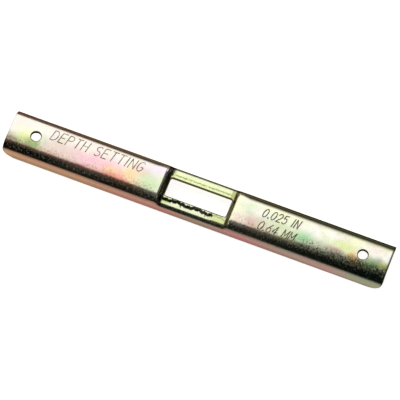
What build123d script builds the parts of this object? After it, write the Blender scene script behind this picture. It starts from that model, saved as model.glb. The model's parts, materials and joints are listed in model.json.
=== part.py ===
# Depth gauge for a saw chain: one strip of sheet steel folded into a shallow channel.
# The gauge lies along the chain with its web on the tops of the cutters. The middle of the
# web is pressed down into a recess, and the tooth to be filed stands up through the window
# there, so a flat file run over the recess takes off what stands too high. Each end has a
# hanging hole, and the corners of the strip are rounded before it is folded.
#
# Frame, in millimetres: +X along the channel, +Y across it, +Z up. The origin is midway
# along and across, on the surface that the two free edges of the flanges stand on.

import os

from build123d import *

# Channel
length = 127.0
width = 14.5
height = 6.35
sheet = 1.2
bend_radius = 4.0
corner_radius = 4.8
edge_break = 0.15

# Recess and window
depth_setting = 0.635
recess_bend_radius = 2.2
step_run = 2.1
step_shoulder = 1.4
window_length = 20.6
window_width = 6.3
window_corner = 0.6
window_margin = 0.2

# Hanging holes
hole_diameter = 3.2
hole_inset = 8.8

# The web's underside rests on the cutters, so its pressed-down top lies one sheet and the
# depth setting below the top of the ends.
recess_depth = sheet + depth_setting
recess_half = window_length / 2 + window_margin
step_end = recess_half + step_run

# On its way down, the middle of the sheet's slope lies about half a sheet further out
# underneath than on top, which keeps the sheet about as thick on the slope as on the flat.
slope_lag_share = 0.45
inner_lag = slope_lag_share * sheet

# The step is lofted through this many cross-sections.
sections = 11

# The inside is cut from this far below the free edges and beyond the ends.
below = 2 * sheet


def drop_left(share):
    """Share of the drop still left at a share of the step's run, counted outwards.

    It is level at both ends, with a tight curve at the recess and, as step_shoulder is above
    1, a longer one at the raised end.
    """
    climbed = 1 - (1 - share) ** step_shoulder
    return 1 - climbed * climbed * (3 - 2 * climbed)


def outline(x, drop_share, inset, bottom):
    """Cross-section at x of the channel's outside, or of its inside when inset is the sheet."""
    drop = recess_depth * drop_share
    bend = bend_radius + (recess_bend_radius - bend_radius) * drop_share - inset
    with BuildSketch(Plane.YZ.offset(x)) as section:
        with Locations((0, bottom)):
            Rectangle(
                width - 2 * inset,
                height - drop - inset - bottom,
                align=(Align.CENTER, Align.MIN),
            )
        fillet(section.vertices().group_by(Axis.Y)[-1], bend)
    return section.sketch


def half_channel(inset, bottom, shift, end, mode):
    """The +X half of the channel's outside or inside: level recess, step and raised end."""
    extrude(outline(0, 1, inset, bottom), amount=recess_half + shift, mode=mode)
    shares = [index / (sections - 1) for index in range(sections)]
    step = [
        outline(recess_half + shift + share * step_run, drop_left(share), inset, bottom)
        for share in shares
    ]
    loft(step, mode=mode)
    raised = outline(step_end + shift, 0, inset, bottom)
    extrude(raised, amount=end - step_end - shift, mode=mode)


def turned_across(face):
    """Whether a face is round about the width, as the strip's rounded corners are."""
    return face.geom_type == GeomType.CYLINDER and face.axis_of_rotation.is_parallel(Axis.Y)


def outer_edges(faces):
    """Edges that only one of these faces has, which leaves out those between two of them."""
    edges = faces.edges()
    return edges.filter_by(lambda edge: sum(edge.is_same(other) for other in edges) == 1)


with BuildPart() as gauge_body:
    # Folded sheet: the outside of the channel, less its inside
    half_channel(0, 0, 0, length / 2, Mode.ADD)
    half_channel(sheet, -below, inner_lag, length / 2 + below, Mode.SUBTRACT)
    mirror(about=Plane.YZ)

    # Rounded corners of the strip, seen from the side
    with BuildSketch(Plane.XZ) as side:
        Rectangle(length, 2 * height, align=(Align.CENTER, Align.MIN))
        fillet(side.vertices().group_by(Axis.Y)[0], corner_radius)
    extrude(amount=width, both=True, mode=Mode.INTERSECT)

    # Broken edges all the way round the strip
    free_edges = gauge_body.faces().filter_by(Axis.Z).group_by(Axis.Z)[0]
    ends = gauge_body.faces().filter_by(Axis.X)
    corners = gauge_body.faces().filter_by(turned_across)
    fillet(outer_edges(free_edges + ends + corners), edge_break)

    # Window in the recess
    with BuildSketch(Plane.XY):
        RectangleRounded(window_length, window_width, window_corner)
    extrude(amount=height, mode=Mode.SUBTRACT)
    window_rims = gauge_body.edges(Select.LAST).filter_by(Axis.Z, reverse=True)
    fillet(window_rims, edge_break)

    # Hanging holes
    with BuildSketch(Plane.XY):
        with GridLocations(length - 2 * hole_inset, 0, 2, 1):
            Circle(hole_diameter / 2)
    extrude(amount=height, mode=Mode.SUBTRACT)
    hole_rims = gauge_body.edges(Select.LAST).filter_by(GeomType.CIRCLE)
    fillet(hole_rims, edge_break)

gauge_body.part.label = "gauge_body"

os.makedirs("parts", exist_ok=True)
export_step(gauge_body.part, "parts/gauge_body.step")
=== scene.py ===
"""Looks of the saw-chain depth gauge: its folded and plated sheet with stamped lettering, the
stage, the camera and the light.

Everything is in metres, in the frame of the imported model: +X along the channel, +Y across it,
+Z up.
"""

import json
import math

import bpy
import numpy as np
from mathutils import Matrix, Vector
from mathutils.geometry import delaunay_2d_cdt


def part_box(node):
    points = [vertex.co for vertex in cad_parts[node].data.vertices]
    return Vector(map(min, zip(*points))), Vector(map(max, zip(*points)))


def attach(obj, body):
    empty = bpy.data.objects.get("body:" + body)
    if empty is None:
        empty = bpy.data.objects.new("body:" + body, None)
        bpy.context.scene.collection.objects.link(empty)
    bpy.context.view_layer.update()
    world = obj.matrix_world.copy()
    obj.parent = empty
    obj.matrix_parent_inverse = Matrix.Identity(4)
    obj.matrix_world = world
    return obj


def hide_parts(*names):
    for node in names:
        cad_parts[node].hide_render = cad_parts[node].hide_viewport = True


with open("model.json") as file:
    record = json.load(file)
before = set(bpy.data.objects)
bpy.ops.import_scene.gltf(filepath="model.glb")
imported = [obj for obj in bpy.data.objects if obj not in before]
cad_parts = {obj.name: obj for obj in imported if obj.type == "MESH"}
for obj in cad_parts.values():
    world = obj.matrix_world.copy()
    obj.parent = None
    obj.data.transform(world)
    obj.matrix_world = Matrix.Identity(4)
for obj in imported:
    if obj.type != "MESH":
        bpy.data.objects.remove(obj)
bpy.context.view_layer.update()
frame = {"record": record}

MM = 0.001
NODE = "gauge_body"

# Sizes of the folded sheet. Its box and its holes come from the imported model.
low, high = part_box(NODE)
LENGTH = high.x - low.x
WIDTH = high.y - low.y
HEIGHT = high.z - low.z
SHEET = 1.2 * MM
BEND = 4.0 * MM
CORNER = 4.8 * MM
EDGE = 0.15 * MM

RECESS_DEPTH = SHEET + 0.635 * MM
RECESS_BEND = 2.2 * MM
STEP_RUN = 2.1 * MM
SHOULDER = 1.4
WINDOW_LENGTH = 20.6 * MM
WINDOW_WIDTH = 6.3 * MM
WINDOW_CORNER = 0.6 * MM
RECESS_HALF = WINDOW_LENGTH / 2 + 0.2 * MM
STEP_END = RECESS_HALF + STEP_RUN
INNER_LAG = 0.45

# The near bend is softer towards the right end. It starts at one place and is full at another,
# with so much more radius, and the web keeps its place up to this far from its middle line.
SOFT_START = 18 * MM
SOFT_FULL = 50 * MM
SOFT_EXTRA = 1.7 * MM
SOFT_KEEP = 1.7 * MM

# The strip laid flat, measured across from its middle line: web, bend, flange
FLAT = WIDTH / 2 - BEND
ARC = BEND * math.pi / 2
FLANGE = HEIGHT - BEND
HALF_STRIP = FLAT + ARC + FLANGE
RECESS_FLAT = WIDTH / 2 - RECESS_BEND


def eased(share):
    """Smooth rise from 0 to 1, level at both ends."""
    share = np.clip(share, 0, 1)
    return share * share * (3 - 2 * share)


def rising(value, start, full):
    """Smooth rise from 0 at the start to 1 where it is full."""
    return eased((value - start) / (full - start))


def sunk_share(x, depth):
    """How far the web is pressed down at x, from 0 on the raised ends to 1 in the recess."""
    run = np.clip((np.abs(x) - INNER_LAG * depth - RECESS_HALF) / STEP_RUN, 0, 1)
    return 1 - eased(1 - (1 - run) ** SHOULDER)


def bent(x, across):
    """Where a point of the strip lies once folded.

    Gives how far it is across the web, the angle it is turned by, how far it is down the
    flange, and the extra radius of the bend there.
    """
    soft = SOFT_EXTRA * rising(x, SOFT_START, SOFT_FULL) * (across < 0)
    flat = FLAT - soft
    arc = (BEND + soft) * math.pi / 2
    flange = FLANGE - soft
    shorter = HALF_STRIP - flat - arc - flange
    reach = np.abs(across)
    reach = reach - shorter * rising(reach, SOFT_KEEP, HALF_STRIP)
    web = np.clip(reach / flat, 0, 1)
    turn = np.clip((reach - flat) / arc, 0, 1) * math.pi / 2
    drop = np.clip((reach - flat - arc) / flange, 0, 1)
    return web, turn, drop, soft


def fold(x, across, depth):
    """Place of a point of the strip, at x and across it, at a depth below its outside."""
    web, turn, drop, soft = bent(x, across)
    sunk = sunk_share(x, depth)
    side = np.sign(across)
    top = HEIGHT - RECESS_DEPTH * sunk
    bend = BEND + soft + (RECESS_BEND - BEND) * sunk
    y = side * (web * (WIDTH / 2 - bend) + (bend - depth) * np.sin(turn))
    z = (top - bend) * (1 - drop) + (bend - depth) * np.cos(turn)
    return np.stack([x, y, z], axis=-1)


# Half the distance between the places that a normal is worked out from
NORMAL_STEP = 0.0001 * MM
REAL_NORMAL_STEP = 0.002 * MM


def outward(x, across, depth):
    """Unit normal of the folded strip, away from its inside."""
    along = fold(x + NORMAL_STEP, across, depth) - fold(x - NORMAL_STEP, across, depth)
    over = fold(x, across + NORMAL_STEP, depth) - fold(x, across - NORMAL_STEP, depth)
    normal = np.cross(along, over)
    return normal / np.linalg.norm(normal, axis=-1, keepdims=True)


# Lettering, as single strokes
def bow(cx, cy, rx, ry, start, end, steps=10):
    """Points of an arc of an ellipse from one angle to another, in degrees."""
    angles = np.radians(np.linspace(start, end, steps))
    return [(cx + rx * math.cos(a), cy + ry * math.sin(a)) for a in angles]


# Width of each glyph and its strokes, for a height of 1
GLYPHS = {
    "0": (0.56, [bow(0.28, 0.5, 0.28, 0.5, 0, 360, 20)]),
    "2": (0.54, [bow(0.27, 0.73, 0.26, 0.27, 165, -35) + [(0.0, 0.0), (0.54, 0.0)]]),
    "4": (0.58, [[(0.42, 0.0), (0.42, 1.0), (0.0, 0.3), (0.58, 0.3)]]),
    "5": (0.54, [[(0.5, 1.0), (0.08, 1.0), (0.04, 0.56)] + bow(0.25, 0.33, 0.28, 0.33, 125, -145)]),
    "6": (0.54, [[(0.44, 1.0), (0.1, 0.55)] + bow(0.27, 0.3, 0.26, 0.3, 150, -210, 14)]),
    ".": (0.12, [[(0.02, 0.02), (0.1, 0.02), (0.1, 0.09), (0.02, 0.09)]]),
    " ": (0.3, []),
    "D": (0.56, [bow(0.24, 0.5, 0.32, 0.5, 90, -90) + [(0.0, 0.0), (0.0, 1.0), (0.24, 1.0)]]),
    "E": (0.5, [[(0.5, 1.0), (0.0, 1.0), (0.0, 0.0), (0.5, 0.0)], [(0.0, 0.52), (0.4, 0.52)]]),
    "G": (0.58, [bow(0.3, 0.5, 0.3, 0.5, 50, 325, 14) + [(0.56, 0.44), (0.34, 0.44)]]),
    "H": (0.54, [[(0.0, 0.0), (0.0, 1.0)], [(0.54, 0.0), (0.54, 1.0)], [(0.0, 0.52), (0.54, 0.52)]]),
    "I": (0.16, [[(0.08, 0.0), (0.08, 1.0)]]),
    "M": (0.68, [[(0.0, 0.0), (0.0, 1.0), (0.34, 0.3), (0.68, 1.0), (0.68, 0.0)]]),
    "N": (0.54, [[(0.0, 0.0), (0.0, 1.0), (0.54, 0.0), (0.54, 1.0)]]),
    "P": (0.52, [bow(0.26, 0.74, 0.26, 0.26, 90, -90) + [(0, 0.48)], [(0, 0), (0, 1), (0.26, 1)]]),
    "S": (0.52, [bow(0.26, 0.75, 0.25, 0.25, 40, 270) + bow(0.26, 0.25, 0.26, 0.25, 90, -140)]),
    "T": (0.56, [[(0.0, 1.0), (0.56, 1.0)], [(0.28, 1.0), (0.28, 0.0)]]),
}
GLYPH_GAP = 0.26
SLANT = 0.24

# Each line of lettering: its words, where it starts and ends along the strip, and its lower and
# upper edge across
LINES = [
    ("DEPTH SETTING", -50.3 * MM, -18.8 * MM, 0.65 * MM, 4.05 * MM),
    ("0.025 IN", 20.9 * MM, 33.4 * MM, 0.5 * MM, 3.4 * MM),
    ("0.64 MM", 20.9 * MM, 33.4 * MM, -3.9 * MM, -1.0 * MM),
]

# How hard each line is struck, which makes its grooves deeper and, by a share, wider. Its marks
# end within this margin of its strokes.
STAMPS = [1.1, 1.45, 1.4]
WIDENED_SHARE = 0.45
GROOVE_HALF = 0.145 * MM
LINE_MARGIN = 4 * GROOVE_HALF
GROOVE_DEPTH = 0.1 * MM
GROOVE_CURVE = 0.8
GROOVE_LIP = 0.008 * MM

# How much of a groove's depth comes and goes, and how fast it does along and across the strip
BLOW_SPREAD = 0.16
BLOW_ALONG = 0.83 * MM
BLOW_ACROSS = 0.9 * MM


def letter_segments(words, start, end, lower, upper):
    """Straight pieces of the strokes of one line of lettering, as rows of x, across, x, across."""
    size = upper - lower
    widths = [GLYPHS[c][0] for c in words]
    natural = sum(widths) + GLYPH_GAP * (len(words) - 1)
    stretch = (end - start - SLANT * size) / natural
    segments = []
    pen = 0.0
    for c in words:
        width, strokes = GLYPHS[c]
        for stroke in strokes:
            points = [
                (start + (pen + px) * stretch + SLANT * py * size, lower + py * size)
                for px, py in stroke
            ]
            segments += [(*a, *b) for a, b in zip(points, points[1:]) if a != b]
        pen += width + GLYPH_GAP
    return np.array(segments)


def distance_to(segments, x, across):
    """Distance from each point to the nearest of the segments."""
    nearest = np.full(x.shape, np.inf)
    for ax, ay, bx, by in segments:
        dx, dy = bx - ax, by - ay
        share = ((x - ax) * dx + (across - ay) * dy) / (dx * dx + dy * dy)
        share = np.clip(share, 0, 1)
        gap = np.hypot(x - ax - share * dx, across - ay - share * dy)
        nearest = np.minimum(nearest, gap)
    return nearest


LETTERS = [(line, letter_segments(*line)) for line in LINES]


def stamped(x, across):
    """How far the stamped strokes push the outside out, which is below 0 in their grooves.

    The blow varies a little from place to place, and each groove has a low lip on both sides.
    """
    push = np.zeros_like(x)
    for stamp, ((_, start, end, lower, upper), segments) in zip(STAMPS, LETTERS):
        near = (x > start - LINE_MARGIN) & (x < end + LINE_MARGIN)
        near &= (across > lower - LINE_MARGIN) & (across < upper + LINE_MARGIN)
        gap = distance_to(segments, x[near], across[near])
        half = GROOVE_HALF * (1 + WIDENED_SHARE * (stamp - 1))
        uneven_blow = np.sin(x[near] / BLOW_ALONG + 2.0 * np.sin(across[near] / BLOW_ACROSS))
        blow = 1 + BLOW_SPREAD * (uneven_blow - 1)
        groove = -GROOVE_DEPTH * stamp * blow * np.clip(1 - gap / half, 0, 1) ** GROOVE_CURVE
        lip = GROOVE_LIP * np.exp(-((gap / half - 1.5) / 0.5) ** 2)
        push[near] += groove + lip
    return push


# The sheet isn't quite flat: it has long shallow waves, sunk to stay below the true surface
WAVES = 14
WAVE_LENGTHS = (5, 22)
WAVE_DEPTH = 0.012 * MM
WAVE_SOFTNESS = 4
WAVE_SINK = 1.75
WAVE_SEED = 7
rng = np.random.default_rng(WAVE_SEED)
wave_lengths = rng.uniform(*WAVE_LENGTHS, WAVES) * MM
wave_angles = rng.uniform(0, math.pi, WAVES)
wave_phases = rng.uniform(0, 2 * math.pi, WAVES)

# Along both rails of the recess, the press tore a ragged ledge. It drops outwards and rises
# again, nearly ends on the right, is much shallower on the far rail and fades out on the steps.
LEDGE_DEPTH = 0.42 * MM
LEDGE_START = 3.55 * MM
LEDGE_RUN = 1.15 * MM
LEDGE_RISE = 1.35 * MM
LEDGE_SPENT = 5.6 * MM
LEDGE_ENDED = 6.6 * MM
SPENT_SHARE = 0.8
FAR_LEDGE = 0.12
LEDGE_FADE = 4

# Places along the ledge where it is shallower
BRIDGES = (-4.3 * MM, 3.9 * MM)
BRIDGE_HALF = 0.3 * MM
BRIDGE_SHARE = 0.3

# Waves of the ledge's border: how far they go across, their length along divided by a full
# turn, and their phase
RAGGED_WAVES = [(0.08 * MM, 0.13 * MM, 0.0), (0.14 * MM, 0.29 * MM, 1.3), (0.2 * MM, 1.05 * MM, 0.4)]


def ledge_share(x, across):
    """How much of the ledge's drop the pressed sheet has had, along both rails of the recess."""
    ragged = sum(size * np.sin(x / length + phase) for size, length, phase in RAGGED_WAVES)
    rail = np.abs(across) * RECESS_FLAT / FLAT + ragged
    drop = rising(rail, LEDGE_START, LEDGE_START + LEDGE_RUN)
    whole = 1 - SPENT_SHARE * rising(x, LEDGE_SPENT, LEDGE_ENDED)
    for bridge in BRIDGES:
        whole = whole * (1 - BRIDGE_SHARE * np.exp(-(((x - bridge) / BRIDGE_HALF) ** 2)))
    return drop * whole * np.where(across > 0, FAR_LEDGE, 1.0)


def uneven(x, across):
    """How far the waves and the ledge push the sheet out, which is below 0 everywhere."""
    total = np.zeros_like(x)
    for length, angle, phase in zip(wave_lengths, wave_angles, wave_phases):
        way = x * math.cos(angle) + across * math.sin(angle)
        total += np.sin(way * 2 * math.pi / length + phase)
    waves = WAVE_DEPTH * (np.tanh(total / WAVE_SOFTNESS) - WAVE_SINK)
    reach = np.abs(across)
    on_bend = np.maximum(reach - FLAT, 0) * RECESS_BEND / BEND
    rail = np.minimum(reach, FLAT) * RECESS_FLAT / FLAT + on_bend
    risen = rising(rail, LEDGE_START + LEDGE_RUN, LEDGE_START + LEDGE_RUN + LEDGE_RISE)
    in_recess = sunk_share(x, 0.0) ** LEDGE_FADE
    return waves - LEDGE_DEPTH * ledge_share(x, across) * (1 - risen) * in_recess


def surface(x, across, depth, lettered=False):
    """Place of a point of the real sheet, which has waves and, on the outside, lettering."""
    push = uneven(x, across)
    if lettered:
        push = push + stamped(x, across)
    return fold(x, across, depth) + outward(x, across, depth) * push[..., None]


def surface_normal(x, across, depth, lettered=False):
    """Normal of the real sheet's outside, from places close by."""
    step = REAL_NORMAL_STEP
    along = surface(x + step, across, depth, lettered) - surface(x - step, across, depth, lettered)
    over = surface(x, across + step, depth, lettered) - surface(x, across - step, depth, lettered)
    normal = np.cross(along, over)
    return normal / np.linalg.norm(normal, axis=-1, keepdims=True)


# Edges of the strip as loops of points (x, across), which an inset draws further into the sheet.
# These are the numbers of points in the parts of a loop's quarter, and in a whole hole.
FREE_EDGE_POINTS = 75
CORNER_POINTS = 31
END_POINTS = 25
WINDOW_SIDE_POINTS = 30
WINDOW_CORNER_POINTS = 9
WINDOW_END_POINTS = 9
HOLE_POINTS = 48


def mirrored_loop(quarter):
    """Closed loop from its quarter, from the middle of one side to the middle of the next."""
    flip_across = quarter * (1, -1)
    flip_both = quarter * (-1, -1)
    flip_along = quarter * (-1, 1)
    quarters = [quarter, flip_across[::-1], flip_both, flip_along[::-1]]
    return np.concatenate([points[:-1] for points in quarters])


def strip_loop(inset):
    """Outer edge of the strip. Its corners are round as seen from the side of the folded channel."""
    straight = LENGTH / 2 - CORNER
    xs = np.linspace(0, straight, FREE_EDGE_POINTS)
    free_edge = np.stack([xs, np.full_like(xs, HALF_STRIP - inset)], axis=1)
    angles = np.radians(np.linspace(0, 90, CORNER_POINTS))[1:]
    z = CORNER - (CORNER - inset) * np.cos(angles)
    lean = np.arccos(np.clip((z - FLANGE) / BEND, 0, 1))
    across = np.where(z < FLANGE, HALF_STRIP - z, FLAT + BEND * lean)
    corner = np.stack([straight + (CORNER - inset) * np.sin(angles), across], axis=1)
    rest = np.linspace(corner[-1, 1], 0, END_POINTS)[1:]
    end = np.stack([np.full_like(rest, LENGTH / 2 - inset), rest], axis=1)
    return mirrored_loop(np.concatenate([free_edge, corner, end]))


def window_loop(inset):
    """Edge of the window in the recess."""
    half_length = WINDOW_LENGTH / 2 + inset
    half_width = WINDOW_WIDTH / 2 + inset
    radius = WINDOW_CORNER + inset
    xs = np.linspace(0, half_length - radius, WINDOW_SIDE_POINTS)
    long_side = np.stack([xs, np.full_like(xs, half_width)], axis=1)
    angles = np.radians(np.linspace(0, 90, WINDOW_CORNER_POINTS))[1:]
    turn = np.stack([np.sin(angles), np.cos(angles)], axis=1)
    corner = (half_length - radius, half_width - radius) + radius * turn
    ys = np.linspace(half_width - radius, 0, WINDOW_END_POINTS)[1:]
    short_side = np.stack([np.full_like(ys, half_length), ys], axis=1)
    loop = mirrored_loop(np.concatenate([long_side, corner, short_side]))
    return loop * (1, FLAT / RECESS_FLAT)


holes = [m for m in frame["record"]["mounts"] if m["kind"] == "bore"]


def hole_loop(hole):
    """Function that gives the edge of one hanging hole."""
    radius = hole["dims"]["r_mm"] * MM
    angles = np.linspace(0, 2 * math.pi, HOLE_POINTS, endpoint=False)

    def loop(inset):
        ring = np.stack([np.cos(angles), np.sin(angles)], axis=1)
        return ring * (radius + inset) + (hole["pos_m"][0], hole["pos_m"][1])

    return loop


LOOPS = [strip_loop, window_loop] + [hole_loop(hole) for hole in holes]


def in_opening(x, across, margin):
    """Whether a point lies in the window or in a hole, or within a margin of its edge."""
    y = across * RECESS_FLAT / FLAT
    inside = (np.abs(x) < WINDOW_LENGTH / 2 + margin) & (np.abs(y) < WINDOW_WIDTH / 2 + margin)
    for hole in holes:
        centre = hole["pos_m"]
        reach = hole["dims"]["r_mm"] * MM + margin
        inside |= np.hypot(x - centre[0], across - centre[1]) < reach
    return inside


def grid(xs, rows):
    """All points of a grid, as rows of x and across."""
    x, across = np.meshgrid(xs, rows, indexing="ij")
    return np.stack([x.ravel(), across.ravel()], axis=1)


# Counts of points along half the strip, on recess, step and raised end, and across half of it,
# on web, bend and flange
COLUMNS = (24, 28, 62)
ROWS = (9, 25, 6)

# Denser points over the lettering and the ledges, and a free band along the edges
LETTER_PITCH = 0.085 * MM
LETTER_BORDER = 2.5 * GROOVE_HALF
LEDGE_PITCH = (0.11 * MM, 0.06 * MM)
LEDGE_ROWS = (LEDGE_START - 0.3 * MM, LEDGE_START + 1.1 * MM)
LEDGE_REACH = RECESS_HALF + 0.4 * MM
RIM_BAND = 0.2 * MM
RIM_GAP = 0.1 * MM


def both_ways(half):
    """Values from 0 up, together with their opposites."""
    return np.concatenate([-half[:0:-1], half])


def dense_boxes():
    """Boxes along and across the strip that get denser points, with their pitch both ways."""
    border = LETTER_BORDER
    boxes = [
        (start - border, end + border, lower - border, upper + border, LETTER_PITCH, LETTER_PITCH)
        for _, start, end, lower, upper in LINES
    ]
    lower, upper = [row * FLAT / RECESS_FLAT for row in LEDGE_ROWS]
    boxes.append((-LEDGE_REACH, LEDGE_REACH, lower, upper, *LEDGE_PITCH))
    boxes.append((-LEDGE_REACH, LEDGE_REACH, -upper, -lower, *LEDGE_PITCH))
    return boxes


def with_dense_boxes(points):
    """The points with those near the dense boxes replaced by denser ones."""
    boxes = dense_boxes()
    for x0, x1, a0, a1, step_x, step_a in boxes:
        outside = (points[:, 0] < x0 - step_x) | (points[:, 0] > x1 + step_x)
        outside |= (points[:, 1] < a0 - step_a) | (points[:, 1] > a1 + step_a)
        points = points[outside]
    dense = [
        grid(np.arange(x0, x1, step_x), np.arange(a0, a1, step_a))
        for x0, x1, a0, a1, step_x, step_a in boxes
    ]
    return np.concatenate([points] + dense)


def inner_points(lettered):
    """Points of the strip between its edges, denser on the steps and the bends."""
    raised_start = STEP_END + INNER_LAG * SHEET
    on_recess = np.linspace(0, RECESS_HALF, COLUMNS[0])[:-1]
    on_step = np.linspace(RECESS_HALF, raised_start, COLUMNS[1])[:-1]
    on_raised = np.linspace(raised_start, LENGTH / 2 - EDGE, COLUMNS[2])[1:-1]
    on_web = np.linspace(0, FLAT, ROWS[0])[:-1]
    on_bend = np.linspace(FLAT, FLAT + ARC, ROWS[1])[:-1]
    on_flange = np.linspace(FLAT + ARC, HALF_STRIP - EDGE, ROWS[2])[:-1]
    xs = both_ways(np.concatenate([on_recess, on_step, on_raised]))
    points = grid(xs, both_ways(np.concatenate([on_web, on_bend, on_flange])))
    if lettered:
        points = with_dense_boxes(points)
    margin = EDGE + RIM_BAND + RIM_GAP
    keep = ~in_opening(points[:, 0], points[:, 1], margin)
    x, across = np.abs(points).T
    z = fold(x, across, 0.0)[:, 2]
    past_corner = np.hypot(x - (LENGTH / 2 - CORNER), z - CORNER) > CORNER - margin
    in_corner = (x > LENGTH / 2 - CORNER) & (z < CORNER)
    keep &= ~(in_corner & past_corner) & (x < LENGTH / 2 - margin) & (across < HALF_STRIP - margin)
    bands = [loop(EDGE + RIM_BAND) for loop in LOOPS]
    return np.concatenate([points[keep]] + bands)


# Points of the strip that lie closer than this, in millimetres, count as one
SAME_POINT = 1e-7


def triangulated(loops, points):
    """Triangles between the edge loops and through the points, after all points in one array.

    The loops' points come first, in order.
    """
    flat = np.concatenate(loops + [points])
    edges = []
    start = 0
    for loop in loops:
        ring = list(range(start, start + len(loop)))
        edges += list(zip(ring, ring[1:] + ring[:1]))
        start += len(loop)
    corners = [Vector(p / MM) for p in flat]
    verts, _, faces, _, _, _ = delaunay_2d_cdt(corners, edges, [], 0, SAME_POINT)
    if len(verts) != len(flat):
        raise ValueError("the triangulation changed the number of points")
    faces = np.array(faces)
    middle = flat[faces].mean(axis=1)
    return flat, faces[~in_opening(middle[:, 0], middle[:, 1], 0.0)]


# Steps round a broken edge, and how much of the rim's painted shade there already is where it begins
RIM_STEPS = 4
RIM_START = 0.6


class Build:
    """Gathers vertices with their normals and attributes, and faces, for one mesh."""

    def __init__(self):
        self.flat = []
        self.places = []
        self.normals = []
        self.rims = []
        self.inside = []
        self.faces = []
        self.count = 0

    def add(self, flat, places, normals, rim, inside):
        """Adds vertices and returns the index of the first."""
        first = self.count
        self.flat.append(flat)
        self.places.append(places)
        self.normals.append(normals)
        self.rims.append(np.broadcast_to(rim, len(flat)))
        self.inside.append(np.full(len(flat), float(inside)))
        self.count += len(flat)
        return first


def ring_strip(first_a, first_b, size, flip):
    """Quads between two rings of the same size."""
    a = np.arange(size)
    b = np.roll(a, -1)
    quads = np.stack([first_a + a, first_a + b, first_b + b, first_b + a], axis=1)
    return quads[:, ::-1] if flip else quads


def add_side(build, depth, lettered, inside):
    """Adds the outside or the inside of the sheet and returns the index of its first vertex."""
    inset_loops = [loop(EDGE) for loop in LOOPS]
    flat, faces = triangulated(inset_loops, inner_points(lettered))
    x, across = flat.T
    below = np.full_like(x, depth)
    places = surface(x, across, below, lettered)
    normals = surface_normal(x, across, below, lettered)
    if inside:
        normals = -normals
        faces = faces[:, ::-1]
    rims = np.zeros(len(flat))
    rims[: sum(len(loop) for loop in inset_loops)] = RIM_START
    first = build.add(flat, places, normals, rims, inside)
    build.faces += (faces + first).tolist()
    return first


def add_rim(build, loop, outer_first, inner_first):
    """Adds the rim along one edge, rounded at both sides, between the outside and the inside."""
    size = len(loop(0.0))
    border = loop(EDGE).T
    edge = loop(0.0).T
    is_opening = loop is not strip_loop
    turns = np.radians(np.linspace(0, 90, RIM_STEPS + 1))[1:]
    previous = outer_first
    for inside, turn in [(False, turn) for turn in turns] + [(True, turn) for turn in turns[::-1]]:
        ring = loop(EDGE * (1 - math.sin(turn)))
        rounded = EDGE * (1 - math.cos(turn))
        depth = np.full(size, SHEET - rounded if inside else rounded)
        face_normal = outward(*border, depth) * (-1 if inside else 1)
        out = surface(*edge, depth) - surface(*border, depth)
        out /= np.linalg.norm(out, axis=1, keepdims=True)
        normals = face_normal * math.cos(turn) + out * math.sin(turn)
        rim = max(RIM_START, math.sin(turn))
        first = build.add(ring, surface(*ring.T, depth), normals, rim, inside)
        build.faces += ring_strip(previous, first, size, is_opening).tolist()
        previous = first
    build.faces += ring_strip(previous, inner_first, size, is_opening).tolist()


def sheet_mesh():
    """The whole folded sheet: outside, inside, and a rounded rim along every edge."""
    build = Build()
    outer_first = add_side(build, 0.0, lettered=True, inside=False)
    inner_first = add_side(build, SHEET, lettered=False, inside=True)
    for loop in LOOPS:
        add_rim(build, loop, outer_first, inner_first)
        outer_first += len(loop(0.0))
        inner_first += len(loop(0.0))
    return build


# Painted shade starts and is full at these slopes of the step and of the ledge. Where the web is
# pressed down by more than the share, it lies at the step's foot.
STEP_SLOPES = (0.75, 1.1)
LEDGE_SLOPES = (0.1, 0.26)
FOOT_SHARE = 0.6
SHADE_SLOPE_STEP = 0.001 * MM

# How far the painted shade at the foot of a step spills past the end of the window, or below 0 stops
# short of it, and how far it takes to fade
SPILL_RIGHT = -0.15 * MM
SPILL_LEFT = 0.1 * MM
SPILL_FAR_LEFT = 0.45 * MM
SPILL_FAR_START = 2.4 * MM
SPILL_FADE = 0.25 * MM

# Thinner painted shade along the near side of the window
WINDOW_SHADE = 0.75
WINDOW_SHADE_REACH = 0.32 * MM
WINDOW_SHADE_FADE = 0.2 * MM


def painted_recess_shade(x, across):
    """Painted shade from 0 to 1 on the steps of the recess, at their foot, on the ledge and by the
    window.
    """
    near_middle = np.abs(x) < RECESS_HALF
    steep = sunk_share(x + SHADE_SLOPE_STEP, 0.0) - sunk_share(x - SHADE_SLOPE_STEP, 0.0)
    steep = np.abs(steep) / (2 * SHADE_SLOPE_STEP) * RECESS_DEPTH
    spill = np.where(across > SPILL_FAR_START, SPILL_FAR_LEFT, SPILL_LEFT)
    spill = np.where(x > 0, SPILL_RIGHT, spill)
    foot = rising(np.abs(x) - WINDOW_LENGTH / 2 + spill, 0.0, SPILL_FADE)
    on_step = np.where(sunk_share(x, 0.0) > FOOT_SHARE, foot, rising(steep, *STEP_SLOPES))

    torn = ledge_share(x, across + SHADE_SLOPE_STEP) - ledge_share(x, across - SHADE_SLOPE_STEP)
    torn = np.abs(torn) / (2 * SHADE_SLOPE_STEP) * LEDGE_DEPTH
    on_ledge = rising(torn, *LEDGE_SLOPES) * near_middle

    from_window = -across * RECESS_FLAT / FLAT - WINDOW_WIDTH / 2
    thin = 1 - rising(from_window, WINDOW_SHADE_REACH - WINDOW_SHADE_FADE, WINDOW_SHADE_REACH)
    by_window = WINDOW_SHADE * thin * (across < 0) * near_middle
    return np.maximum(np.maximum(on_step, on_ledge), by_window)


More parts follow.
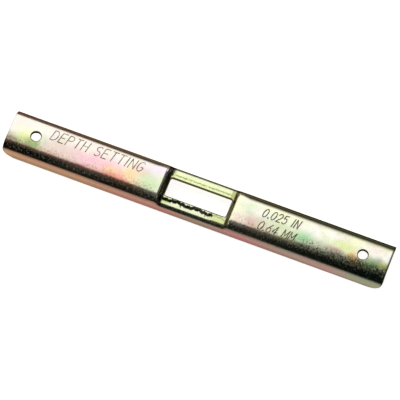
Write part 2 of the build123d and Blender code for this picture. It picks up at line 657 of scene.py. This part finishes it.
def make_sheet():
    """Blender object of the folded sheet, with the attributes that its material reads."""
    build = sheet_mesh()
    mesh = bpy.data.meshes.new("folded_sheet")
    mesh.from_pydata(np.concatenate(build.places).tolist(), [], build.faces)
    mesh.update()
    flat = np.concatenate(build.flat)
    inside = np.concatenate(build.inside)
    laid = mesh.attributes.new("laid_flat", "FLOAT_VECTOR", "POINT")
    on_plane = np.column_stack([flat, np.zeros(len(flat))])
    laid.data.foreach_set("vector", on_plane.astype(np.float32).ravel())
    for name, values in (
        ("turn", np.sign(flat[:, 1]) * bent(*flat.T)[1] / (math.pi / 2)),
        ("groove", np.clip(-stamped(*flat.T) / GROOVE_DEPTH, 0, 1) * (1 - inside)),
        ("painted_shade", painted_recess_shade(*flat.T)),
        ("rim", np.concatenate(build.rims)),
    ):
        attribute = mesh.attributes.new(name, "FLOAT", "POINT")
        attribute.data.foreach_set("value", values.astype(np.float32))
    mesh.polygons.foreach_set("use_smooth", np.ones(len(mesh.polygons), bool))
    mesh.normals_split_custom_set_from_vertices(np.concatenate(build.normals).tolist())
    sheet = bpy.data.objects.new("gauge_sheet", mesh)
    bpy.context.scene.collection.objects.link(sheet)
    return sheet


# Material
class Shading:
    """Short calls for the shader nodes of one material."""

    def __init__(self, name):
        self.material = bpy.data.materials.new(name)
        self.material.use_nodes = True
        self.nodes = self.material.node_tree.nodes
        self.links = self.material.node_tree.links
        self.shader = self.nodes["Principled BSDF"]

    def put(self, socket, value):
        """Links or sets an input."""
        if isinstance(value, bpy.types.NodeSocket):
            self.links.new(value, socket)
        elif value is not None:
            socket.default_value = value

    def attribute(self, name, output="Fac"):
        node = self.nodes.new("ShaderNodeAttribute")
        node.attribute_name = name
        return node.outputs[output]

    def math(self, operation, a, b=None, c=None, clamp=False):
        node = self.nodes.new("ShaderNodeMath")
        node.operation = operation
        node.use_clamp = clamp
        for socket, value in zip(node.inputs, (a, b, c)):
            self.put(socket, value)
        return node.outputs[0]

    def product(self, first, *others):
        """Product of several shares, which is 1 only where all of them are."""
        for other in others:
            first = self.math("MULTIPLY", first, other)
        return first

    def vector(self, operation, a, b=None, scale=None, output=0):
        node = self.nodes.new("ShaderNodeVectorMath")
        node.operation = operation
        self.put(node.inputs[0], a)
        self.put(node.inputs[1], b)
        if scale is not None:
            self.put(node.inputs["Scale"], scale)
        return node.outputs[output]

    def split(self, vector):
        node = self.nodes.new("ShaderNodeSeparateXYZ")
        self.put(node.inputs[0], vector)
        return node.outputs

    def ramped(self, value, start, end, low=0.0, high=1.0):
        """Smooth change from low to high while the value goes from start to end."""
        node = self.nodes.new("ShaderNodeMapRange")
        node.interpolation_type = "SMOOTHSTEP"
        for socket, number in zip(node.inputs, (value, start, end, low, high)):
            self.put(socket, number)
        return node.outputs[0]

    def noise(self, vector, scale, detail=2.0, rough=0.5, output="Fac"):
        node = self.nodes.new("ShaderNodeTexNoise")
        self.put(node.inputs["Vector"], vector)
        self.put(node.inputs["Scale"], scale)
        self.put(node.inputs["Detail"], detail)
        self.put(node.inputs["Roughness"], rough)
        return node.outputs[output]

    def mix(self, share, a, b, blend="MIX"):
        node = self.nodes.new("ShaderNodeMix")
        node.data_type = "RGBA"
        node.blend_type = blend
        self.put(node.inputs["Factor"], share)
        self.put(node.inputs[6], a)
        self.put(node.inputs[7], b)
        return node.outputs[2]

    def colours(self, value, stops):
        """Colour ramp through stops of a place from 0 to 1 and a colour."""
        node = self.nodes.new("ShaderNodeValToRGB")
        elements = node.color_ramp.elements
        while len(elements) < len(stops):
            elements.new(0.5)
        for element, (place, colour) in zip(elements, stops):
            element.position = place
            element.color = colour
        self.put(node.inputs[0], value)
        return node.outputs[0]


def shade(red, green, blue):
    """Linear colour of a shade given as it shows on screen, from 0 to 255."""
    parts = [c / 255 for c in (red, green, blue)]
    return (*[c / 12.92 if c <= 0.04045 else ((c + 0.055) / 1.055) ** 2.4 for c in parts], 1)


WHITE = shade(249, 249, 243)
ROSY = shade(253, 240, 230)
CREAM = shade(250, 250, 208)
LIME = shade(222, 235, 150)
YELLOW = shade(251, 228, 152)
ORANGE = shade(228, 150, 76)
GREEN = shade(150, 206, 108)
FERN = shade(84, 130, 70)
MINT = shade(208, 231, 182)
JADE = shade(150, 220, 160)
BEIGE = shade(218, 206, 188)
STONE = shade(202, 202, 178)
PINK = shade(250, 200, 212)
BLUSH = shade(243, 212, 206)
SHELL = shade(253, 236, 224)
SAGE = shade(216, 226, 192)
CORAL = shade(250, 176, 162)
PEACH = shade(252, 214, 176)
MAUVE = shade(224, 170, 176)
LILAC = shade(249, 234, 248)
OLIVE = shade(170, 170, 88)
UMBER = shade(122, 88, 44)
SLATE = shade(138, 146, 122)
PAINTED_SHADE_GREEN = shade(72, 82, 64)
BROWN = shade(176, 166, 146)

# Soft patches of tint on the web: place along and across and size along and across, in
# millimetres, then tint and strength. Most are the film's own tint; the umber, slate, fern and brown
# ones, the dark green one and the olive one at the right end are painted shade of the near bend.
PATCHES = [
    (-60.0, 3.0, 6.0, 3.0, ROSY, 0.9),
    (-57.5, 0.6, 5.0, 2.5, CREAM, 0.8),
    (-58.0, -1.9, 4.5, 2.4, LIME, 0.9),
    (-55.9, -2.3, 1.9, 1.8, OLIVE, 0.6),
    (-54.2, -3.0, 2.8, 2.0, GREEN, 1.0),
    (-52.3, -0.2, 1.9, 2.8, MINT, 0.6),
    (-62.5, -3.2, 4.5, 2.6, UMBER, 0.7),
    (-58.0, -3.8, 6.0, 2.2, SLATE, 0.6),
    (-50.5, -2.2, 4.5, 3.0, STONE, 0.8),
    (-46.5, -0.6, 6.0, 4.4, BEIGE, 0.7),
    (-33.0, -1.2, 22.0, 4.4, BLUSH, 0.7),
    (-36.0, 4.4, 26.0, 2.0, SHELL, 0.9),
    (-44.0, -1.8, 7.5, 3.2, BLUSH, 0.6),
    (-37.0, -1.9, 8.0, 3.4, PINK, 0.95),
    (-30.5, -0.4, 7.0, 2.6, PINK, 0.6),
    (-28.6, -2.8, 5.5, 2.4, CORAL, 0.8),
    (-28.0, -2.2, 3.2, 1.6, YELLOW, 0.7),
    (-24.6, -3.2, 5.0, 2.3, CORAL, 1.0),
    (-22.4, -1.1, 3.2, 1.7, YELLOW, 0.9),
    (-20.6, -2.6, 4.2, 2.2, PEACH, 0.8),
    (-42.6, -2.2, 6.0, 3.0, BEIGE, 0.5),
    (-20.6, 0.4, 4.0, 2.4, PEACH, 0.8),
    (-18.0, 1.6, 4.5, 2.6, BLUSH, 0.8),
    (-15.0, 3.2, 5.0, 2.6, LILAC, 0.9),
    (-15.6, -1.9, 6.0, 4.4, MINT, 1.0),
    (12.6, 0.0, 2.6, 8.0, CREAM, 0.9),
    (14.0, -2.6, 2.2, 1.8, BLUSH, 0.7),
    (16.5, 1.5, 3.5, 3.6, MINT, 0.55),
    (18.8, -2.1, 4.2, 3.0, MAUVE, 0.75),
    (26.5, 3.8, 11.0, 2.0, CREAM, 0.7),
    (28.0, 0.2, 9.0, 4.6, LIME, 0.35),
    (28.0, -0.3, 10.0, 1.8, SAGE, 0.7),
    (42.0, -0.7, 6.0, 2.2, SAGE, 0.7),
    (35.7, -1.7, 4.0, 3.0, JADE, 0.8),
    (41.0, -3.2, 9.0, 2.6, BROWN, 0.25),
    (46.2, -1.3, 3.4, 1.4, MAUVE, 0.9),
    (49.0, 0.8, 5.6, 2.1, LIME, 0.9),
    (51.5, 2.8, 4.2, 2.4, CREAM, 0.9),
    (51.4, -1.6, 2.7, 1.7, YELLOW, 0.9),
    (52.6, -2.3, 2.0, 1.6, ORANGE, 0.9),
    (48.0, -3.4, 6.0, 2.4, SLATE, 0.8),
    (54.3, -3.3, 4.2, 2.2, UMBER, 1.0),
    (59.0, -2.6, 5.2, 3.6, FERN, 1.0),
    (58.6, 2.4, 3.8, 3.0, ROSY, 0.9),
    (62.4, -1.6, 3.0, 2.0, OLIVE, 0.9),
    (61.6, -4.1, 4.4, 2.3, PAINTED_SHADE_GREEN, 0.9),
]

# Colours along the strip, from its left end at 0 to its right end at 1
FLANGE_STOPS = [
    (0.0, shade(190, 148, 114)),
    (0.2, shade(188, 144, 114)),
    (0.3, shade(190, 134, 118)),
    (0.42, shade(190, 126, 122)),
    (0.52, shade(158, 136, 120)),
    (0.62, shade(190, 122, 128)),
    (0.74, shade(166, 136, 126)),
    (0.86, shade(174, 132, 128)),
    (0.93, shade(150, 150, 126)),
    (1.0, shade(148, 150, 122)),
]
# Painted shade on the flanges close under the bends
UNDER_BEND_STOPS = [
    (0.1, shade(204, 188, 198)),
    (0.62, shade(168, 192, 176)),
    (0.8, shade(214, 224, 220)),
]
# Painted shade of the near bend and of the far bend
NEAR_BEND_SHADE_STOPS = [
    (0.03, shade(26, 25, 22)),
    (0.11, shade(27, 29, 22)),
    (0.18, shade(64, 70, 62)),
    (0.27, shade(44, 46, 36)),
    (0.36, shade(56, 58, 44)),
    (0.66, shade(54, 58, 46)),
    (0.8, shade(34, 42, 32)),
    (0.95, shade(16, 28, 20)),
]
FAR_BEND_SHADE_STOPS = [
    (0.0, shade(90, 62, 42)),
    (0.45, shade(98, 88, 68)),
    (0.9, shade(82, 82, 66)),
]

# Colours by the strength of a noise
FILM_STOPS = [(0.25, BLUSH), (0.42, ROSY), (0.5, WHITE), (0.6, CREAM), (0.72, MINT)]
FAR_RAIL_STOPS = [
    (0.3, shade(226, 234, 150)),
    (0.5, shade(244, 249, 208)),
    (0.68, shade(222, 240, 190)),
]
NEAR_RAIL_STOPS = [
    (0.3, shade(216, 234, 160)),
    (0.5, shade(244, 240, 212)),
    (0.68, shade(210, 238, 186)),
]

# Least distance of the green streak on the far rail from the strip's middle line (mm)
FAR_STREAK = 2.55

# Height of the finest scratches and pits
GRAIN_HEIGHT = 0.006 * MM


class SheetShading(Shading):
    """Shading that knows the place on the strip laid flat, in millimetres, and the turn of the bends.

    The turn goes from 0 on the web to 1 on the far flange and to -1 on the near one, and the
    share from 0 at the left end to 1 at the right end. Warped places give the film's tints
    their uneven borders.
    """

    def __init__(self, name):
        super().__init__(name)
        self.place = self.vector("SCALE", self.attribute("laid_flat", "Vector"), scale=1 / MM)
        self.along, self.across, _ = self.split(self.place)
        self.warped = self.vector("ADD", self.place, self.wander(0.3, 1.5, 0.5, (4.0, 2.2, 0)))
        self.warped = self.vector("ADD", self.warped, self.wander(2.4, 4.0, 0.75, (1.8, 1.2, 0)))
        self.warped_along, self.warped_across, _ = self.split(self.warped)
        self.turn = self.attribute("turn")
        self.share = self.math("MULTIPLY_ADD", self.warped_along, 1 / (LENGTH / MM), 0.5)
        self.from_middle = self.math("ABSOLUTE", self.along)
        self.from_step = self.ramped(self.from_middle, 12.5, 22.0)
        self.rightward = self.ramped(self.along, 8.0, 44.0)
        self.specks = self.stretched_noise((1.5, 0.9, 1), 1.25, 2.0, 0.65)

    def wander(self, scale, detail, rough, reach):
        """Random shift of a place, by at most half the reach either way."""
        shift = self.noise(self.place, scale, detail, rough, "Color")
        return self.vector("MULTIPLY", self.vector("SUBTRACT", shift, (0.5, 0.5, 0.5)), reach)

    def stretched_noise(self, density, scale, detail, rough):
        """Noise with its own density along and across the strip."""
        return self.noise(self.vector("MULTIPLY", self.place, density), scale, detail, rough)


def web_film(s):
    """Nearly clear film of the web, with soft patches of tint."""
    film = s.noise(s.warped, 0.2, 3.0, 0.6)
    web = s.mix(0.45, s.colours(film, FILM_STOPS), WHITE)
    for x, y, wide, deep, tint, strength in PATCHES:
        offset = s.vector("SUBTRACT", s.warped, (x, y, 0))
        scaled = s.vector("MULTIPLY", offset, (1 / wide, 1 / deep, 0))
        reach = s.vector("LENGTH", scaled, output="Value")
        web = s.mix(s.ramped(reach, 1.3, 0.0, 0, strength), web, tint)
    return web


def shaded_web(s, web):
    """The web's film with painted shade towards the near bend and, on the right, speckles and more
    painted shade.
    """
    near_shade = s.mix(s.rightward, shade(220, 186, 168), shade(244, 244, 228))
    less_by_step = s.math("MULTIPLY_ADD", s.from_step, 0.75, 0.25)
    near_shaded = s.product(s.ramped(s.warped_across, -2.0, -4.6), less_by_step)
    web = s.mix(near_shaded, web, near_shade, "MULTIPLY")
    across_right = s.ramped(s.warped_across, 1.2, -2.0, 0.0, 0.6)
    right_shaded = s.product(s.ramped(s.along, 12.0, 24.0), across_right)
    web = s.mix(right_shaded, web, shade(224, 232, 208), "MULTIPLY")

    speckled = s.product(s.ramped(s.along, 31.0, 41.0, 0.3, 0.9), s.ramped(s.warped_across, -0.8, -3.0))
    dark_specks = s.product(speckled, s.ramped(s.specks, 0.53, 0.59))
    web = s.mix(dark_specks, web, shade(70, 70, 55), "MULTIPLY")
    light_specks = s.product(speckled, s.ramped(s.specks, 0.45, 0.38, 0.0, 0.6))
    web = s.mix(light_specks, web, shade(240, 240, 220))

    far_shaded = s.product(s.ramped(s.along, 28.0, 44.0), s.ramped(s.warped_across, 3.0, 4.6))
    return s.mix(far_shaded, web, shade(230, 231, 204), "MULTIPLY")


def rail_film(s):
    """Yellower, streaky film on the two rails of the recess."""
    streaks = s.stretched_noise((2.2, 0.6, 1), 1.0, 3.0, 0.6)
    far_rail = s.colours(streaks, FAR_RAIL_STOPS)
    far_rail = s.mix(s.ramped(s.across, 2.5, 2.2, 0.0, 0.6), far_rail, shade(238, 226, 132))
    streak_middle = s.math("MULTIPLY_ADD", streaks, 0.5, FAR_STREAK)
    from_streak = s.math("ABSOLUTE", s.math("SUBTRACT", s.across, streak_middle))
    breaks = s.stretched_noise((1.0, 2.5, 1), 1.1, 3.0, 0.7)
    streak = s.product(s.ramped(from_streak, 0.3, 0.05), s.ramped(breaks, 0.38, 0.56, 0.25, 1.0))
    far_rail = s.mix(streak, far_rail, shade(150, 170, 92))
    far_rail = s.mix(s.ramped(s.along, -8.9, -9.7, 0.0, 0.7), far_rail, shade(200, 206, 144))
    far_rail = s.mix(s.ramped(s.along, 9.0, 9.7, 0.0, 0.85), far_rail, shade(180, 180, 116))

    near_rail = s.colours(streaks, NEAR_RAIL_STOPS)
    near_rail = s.mix(s.ramped(s.along, 4.6, 6.6, 0.0, 0.6), near_rail, shade(202, 212, 120))
    near_rail = s.mix(s.ramped(s.along, -7.0, -9.0, 0.0, 0.5), near_rail, shade(206, 220, 126))
    return s.mix(s.ramped(s.across, 0.1, -0.1), far_rail, near_rail)


def flange_film(s):
    """Film of the flanges, which turns from tan through rose to olive, with painted shade near the
    bend.
    """
    flange = s.colours(s.share, FLANGE_STOPS)
    # Painted shade close under the bend
    under_bend = s.ramped(s.math("ABSOLUTE", s.turn), 0.94, 0.64)
    flange = s.mix(under_bend, flange, s.colours(s.share, UNDER_BEND_STOPS), "MULTIPLY")
    mottle = s.stretched_noise((0.5, 1.2, 1), 1.0, 4.0, 0.65)
    return s.mix(s.ramped(mottle, 0.35, 0.7, 0.0, 0.3), flange, shade(150, 140, 110))


def bend_painted_shade(s):
    """Painted shade of the bends, with painted highlight flecks and a brown band on the near one."""
    flecks = s.product(s.ramped(s.specks, 0.46, 0.36), s.ramped(s.along, 0.0, 40.0, 0.55, 0.14))
    bend_shade = s.mix(flecks, s.colours(s.share, NEAR_BEND_SHADE_STOPS), shade(158, 158, 134))
    bend_shade = s.mix(s.ramped(s.turn, 0.1, 0.2), bend_shade, s.colours(s.share, FAR_BEND_SHADE_STOPS))
    browner_band = s.product(s.ramped(s.turn, -0.5, -0.6), s.ramped(s.along, 0.0, -35.0))
    return s.mix(browner_band, bend_shade, shade(48, 26, 16))


def bend_shade_cover(s):
    """How much painted shade covers the bends. It starts later in the turn beside the steps."""
    speckle = s.noise(s.place, 2.0, 4.0, 0.7)
    uneven_turn = s.math("ADD", s.turn, s.math("MULTIPLY_ADD", speckle, 0.5, -0.25))
    by_step = s.math("SUBTRACT", 1.0, s.from_step)
    start = s.math("MULTIPLY_ADD", by_step, -0.06, s.math("MULTIPLY_ADD", s.rightward, -0.04, -0.18))
    full = s.math("MULTIPLY_ADD", by_step, 0.04, s.math("MULTIPLY_ADD", s.rightward, 0.04, -0.43))
    full = s.math("ADD", full, s.ramped(s.along, -41.0, -49.0, 0.0, 0.08))
    near_bend = s.ramped(uneven_turn, start, full)
    earlier = s.product(s.ramped(s.share, -0.1, 0.65), s.ramped(s.from_middle, 12.5, 16.0))
    far_bend = s.ramped(s.math("MULTIPLY_ADD", earlier, 0.13, s.turn), 0.24, 0.44)
    return s.math("MAXIMUM", near_bend, far_bend)


def glints(s):
    """Painted glints: bright specks in the upper part of the near bend."""
    band = s.product(s.ramped(s.turn, -0.08, -0.2), s.ramped(s.turn, -0.5, -0.3))
    specks = s.ramped(s.specks, 0.42, 0.34, 0.0, 0.7)
    return s.product(band, specks, s.ramped(s.along, 60.0, 50.0, 0.35, 1.0))


def recess_shade_colour(s):
    """Colour of the painted shade in the recess: olive on the left, nearly black at the far end of its
    step, browner on the right.
    """
    left = s.mix(s.ramped(s.across, 2.4, 3.4), shade(31, 35, 14), shade(14, 17, 6))
    return s.mix(s.ramped(s.along, 9.0, 10.5), left, shade(58, 54, 24))


def sheet_colour(s):
    """Colour of the whole sheet: film, stamped strokes, painted glints, painted shade on bends, steps,
    ledge, rims.
    """
    in_recess = s.ramped(s.from_middle, 11.5, 10.5)
    web = s.mix(in_recess, shaded_web(s, web_film(s)), rail_film(s))
    # Painted shade on both bends
    on_bend = bend_shade_cover(s)
    skin = s.mix(on_bend, web, bend_painted_shade(s))
    # Painted glints on the near bend
    skin = s.mix(glints(s), skin, shade(214, 210, 186))
    # Painted shade on the steps, at their foot, on the ledge and by the window
    recess_shaded = s.product(s.attribute("painted_shade"), s.ramped(s.along, -5.0, 5.0, 0.985, 0.92))
    skin = s.mix(recess_shaded, skin, recess_shade_colour(s))
    on_flange = s.math("MAXIMUM", s.ramped(s.turn, -0.58, -0.7), s.ramped(s.turn, 0.86, 0.98))
    skin = s.mix(on_flange, skin, flange_film(s))

    # Fine grain, weaker under the painted shade of the bends, and the stamped strokes made darker
    under_bend_shade = s.math("SUBTRACT", on_bend, on_flange, clamp=True)
    bare = s.math("SUBTRACT", 1.0, s.product(under_bend_shade, 0.85))
    grain = s.noise(s.place, 3.6, 4.0, 0.75)
    grains = s.product(bare, s.ramped(grain, 0.45, 0.72, 0.0, 0.3))
    skin = s.mix(grains, skin, shade(190, 186, 160))
    skin = s.mix(s.ramped(s.attribute("groove"), 0.1, 0.9, 0.0, 0.85), skin, shade(86, 74, 54))

    # Painted shade on the rims, fainter at the left end, and along the right end
    rim = s.ramped(s.attribute("rim"), 0.05, 0.55, 0.0, 0.92)
    rim = s.product(rim, s.ramped(s.along, -62.8, -61.8, 0.35, 1.0))
    right_end = s.ramped(s.along, 62.8, 63.25, 0.0, 0.92)
    return s.mix(s.math("MAXIMUM", rim, right_end), skin, shade(60, 54, 34))


def edge_tint(s):
    """Tint of what the metal reflects at a low angle. Its duller tint on the far bend towards the right
    is painted shade.
    """
    far_bend = s.product(s.ramped(s.turn, 0.2, 0.4), s.ramped(s.turn, 0.98, 0.86))
    dull = s.product(far_bend, s.ramped(s.share, 0.2, 0.85))
    return s.mix(dull, (0.5, 0.44, 0.4, 1), (0.22, 0.22, 0.14, 1))


def plated_steel():
    """Bright zinc plate under a thin film, clear on the web and tan, rose and olive on the flanges."""
    s = SheetShading("plated_steel")
    s.put(s.shader.inputs["Base Color"], sheet_colour(s))
    s.put(s.shader.inputs["Metallic"], 1.0)
    s.put(s.shader.inputs["Specular Tint"], edge_tint(s))

    # The near bend is worn rougher towards its right end
    upper_bend = s.ramped(s.turn, -0.5, -0.2)
    worn = s.product(s.ramped(s.along, 20.0, 50.0), s.ramped(s.across, 0.0, -3.0), upper_bend)
    smudged = s.ramped(s.noise(s.warped, 0.5, 4.0, 0.6), 0.3, 0.7, 0.2, 0.3)
    s.put(s.shader.inputs["Roughness"], s.math("MULTIPLY_ADD", worn, 0.18, smudged))

    scratches = s.stretched_noise((5.0, 0.7, 1), 1.0, 3.0, 0.6)
    pits = s.noise(s.place, 2.6, 3.0, 0.6)
    height = s.math("MULTIPLY_ADD", scratches, 0.6, pits)
    height = s.product(height, s.math("MULTIPLY_ADD", worn, 2.0, 1.0))
    bump = s.nodes.new("ShaderNodeBump")
    s.put(bump.inputs["Strength"], 1.0)
    s.put(bump.inputs["Distance"], GRAIN_HEIGHT)
    s.put(bump.inputs["Height"], height)
    s.put(s.shader.inputs["Normal"], bump.outputs[0])
    return s.material


FLOOR_SIZE = 8.0
FLOOR_TONE = (0.9, 0.9, 0.9, 1)
FLOOR_LIFT = 0.8


def white_floor():
    """Pale floor that keeps shadows, and shows white to the camera and in the metal alike.

    It can be seen through from below.
    """
    s = Shading("white_floor")
    s.nodes.remove(s.shader)
    diffuse = s.nodes.new("ShaderNodeBsdfDiffuse")
    s.put(diffuse.inputs["Color"], FLOOR_TONE)
    rays = s.nodes.new("ShaderNodeLightPath").outputs
    seen = s.math("MAXIMUM", rays["Is Camera Ray"], rays["Is Glossy Ray"])
    seen = s.math("MAXIMUM", seen, rays["Is Transmission Ray"])
    glow = s.nodes.new("ShaderNodeEmission")
    s.put(glow.inputs["Strength"], s.math("MULTIPLY", seen, FLOOR_LIFT))
    lit = s.nodes.new("ShaderNodeAddShader")
    s.put(lit.inputs[0], diffuse.outputs[0])
    s.put(lit.inputs[1], glow.outputs[0])
    from_below = s.nodes.new("ShaderNodeNewGeometry").outputs["Backfacing"]
    clear = s.nodes.new("ShaderNodeBsdfTransparent")
    one_sided = s.nodes.new("ShaderNodeMixShader")
    s.put(one_sided.inputs[0], from_below)
    s.put(one_sided.inputs[1], lit.outputs[0])
    s.put(one_sided.inputs[2], clear.outputs[0])
    s.put(s.nodes["Material Output"].inputs["Surface"], one_sided.outputs[0])
    return s.material


sheet = make_sheet()
sheet.data.materials.append(plated_steel())
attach(sheet, "root")
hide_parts(NODE)

# Stage
half = FLOOR_SIZE / 2
floor_corners = [(-half, -half, 0), (half, -half, 0), (half, half, 0), (-half, half, 0)]
floor_mesh = bpy.data.meshes.new("floor")
floor_mesh.from_pydata(floor_corners, [], [(0, 1, 2, 3)])
floor_mesh.materials.append(white_floor())
floor = bpy.data.objects.new("floor", floor_mesh)
bpy.context.scene.collection.objects.link(floor)

# Camera: the photograph's angle, found from the holes, the window and the bar's outline
AZIMUTH = math.radians(21.25)
ELEVATION = math.radians(68.6)
DISTANCE = 1.022
PIXELS_PER_MM = 3.1965
FRAME_PIXELS = 400
SENSOR = 36.0
AIM_HEIGHT = 3.0 * MM
AIM_RIGHT = 0.53 * MM
AIM_DOWN = 0.35 * MM
NEAREST = 0.05
FARTHEST = 50.0

level = math.cos(ELEVATION)
back = Vector((math.sin(AZIMUTH) * level, -math.cos(AZIMUTH) * level, math.sin(ELEVATION)))
right = Vector((math.cos(AZIMUTH), math.sin(AZIMUTH), 0))
up = back.cross(right)
aim = Vector((0, 0, AIM_HEIGHT)) + right * AIM_RIGHT - up * AIM_DOWN
camera_data = bpy.data.cameras.new("camera")
camera_data.sensor_width = SENSOR
camera_data.lens = PIXELS_PER_MM * DISTANCE / MM / FRAME_PIXELS * SENSOR
camera_data.clip_start = NEAREST
camera_data.clip_end = FARTHEST
camera = bpy.data.objects.new("camera", camera_data)
camera.location = aim + back * DISTANCE
camera.rotation_mode = "QUATERNION"
camera.rotation_quaternion = back.to_track_quat("Z", "Y")
bpy.context.scene.collection.objects.link(camera)
bpy.context.scene.camera = camera

# Light. Each lamp has its name, its place, the place it points at, its width and height, and
# how bright it looks
MIDDLE = (0.0, 0.0, 0.0)
LAMPS = [
    ("overhead", (-1.02, 1.68, 1.0), (-1.02, 1.68, 0.0), 2.36, 3.44, 1.05),
    ("front_right", (1.05, -1.05, 0.7), MIDDLE, 1.0, 0.9, 0.9),
    ("front_left", (-1.05, -1.0, 0.7), MIDDLE, 0.9, 0.9, 0.8),
    ("far_left", (-2.3, 0.2, 0.6), MIDDLE, 2.0, 1.0, 0.8),
    ("front_low", (0.0, -1.9, 0.95), MIDDLE, 2.4, 1.0, 0.15),
    ("far_right", (1.1, 1.5, 0.8), MIDDLE, 1.0, 1.0, 0.9),
]
WORLD_LIGHT = 0.1


def softbox(name, place, target, width, height, radiance):
    """Area lamp that shines evenly, at a given brightness as seen."""
    lamp_data = bpy.data.lights.new(name, "AREA")
    lamp_data.shape = "RECTANGLE"
    lamp_data.size = width
    lamp_data.size_y = height
    lamp_data.energy = radiance * math.pi * width * height
    lamp = bpy.data.objects.new(name, lamp_data)
    lamp.location = place
    lamp.rotation_mode = "QUATERNION"
    lamp.rotation_quaternion = (Vector(place) - Vector(target)).to_track_quat("Z", "Y")
    lamp.visible_camera = False
    bpy.context.scene.collection.objects.link(lamp)


for lamp in LAMPS:
    softbox(*lamp)

world = bpy.data.worlds.new("studio")
world.use_nodes = True
background = world.node_tree.nodes["Background"]
background.inputs["Color"].default_value = (1, 1, 1, 1)
background.inputs["Strength"].default_value = WORLD_LIGHT
bpy.context.scene.world = world

bpy.context.scene.view_settings.view_transform = "Standard"
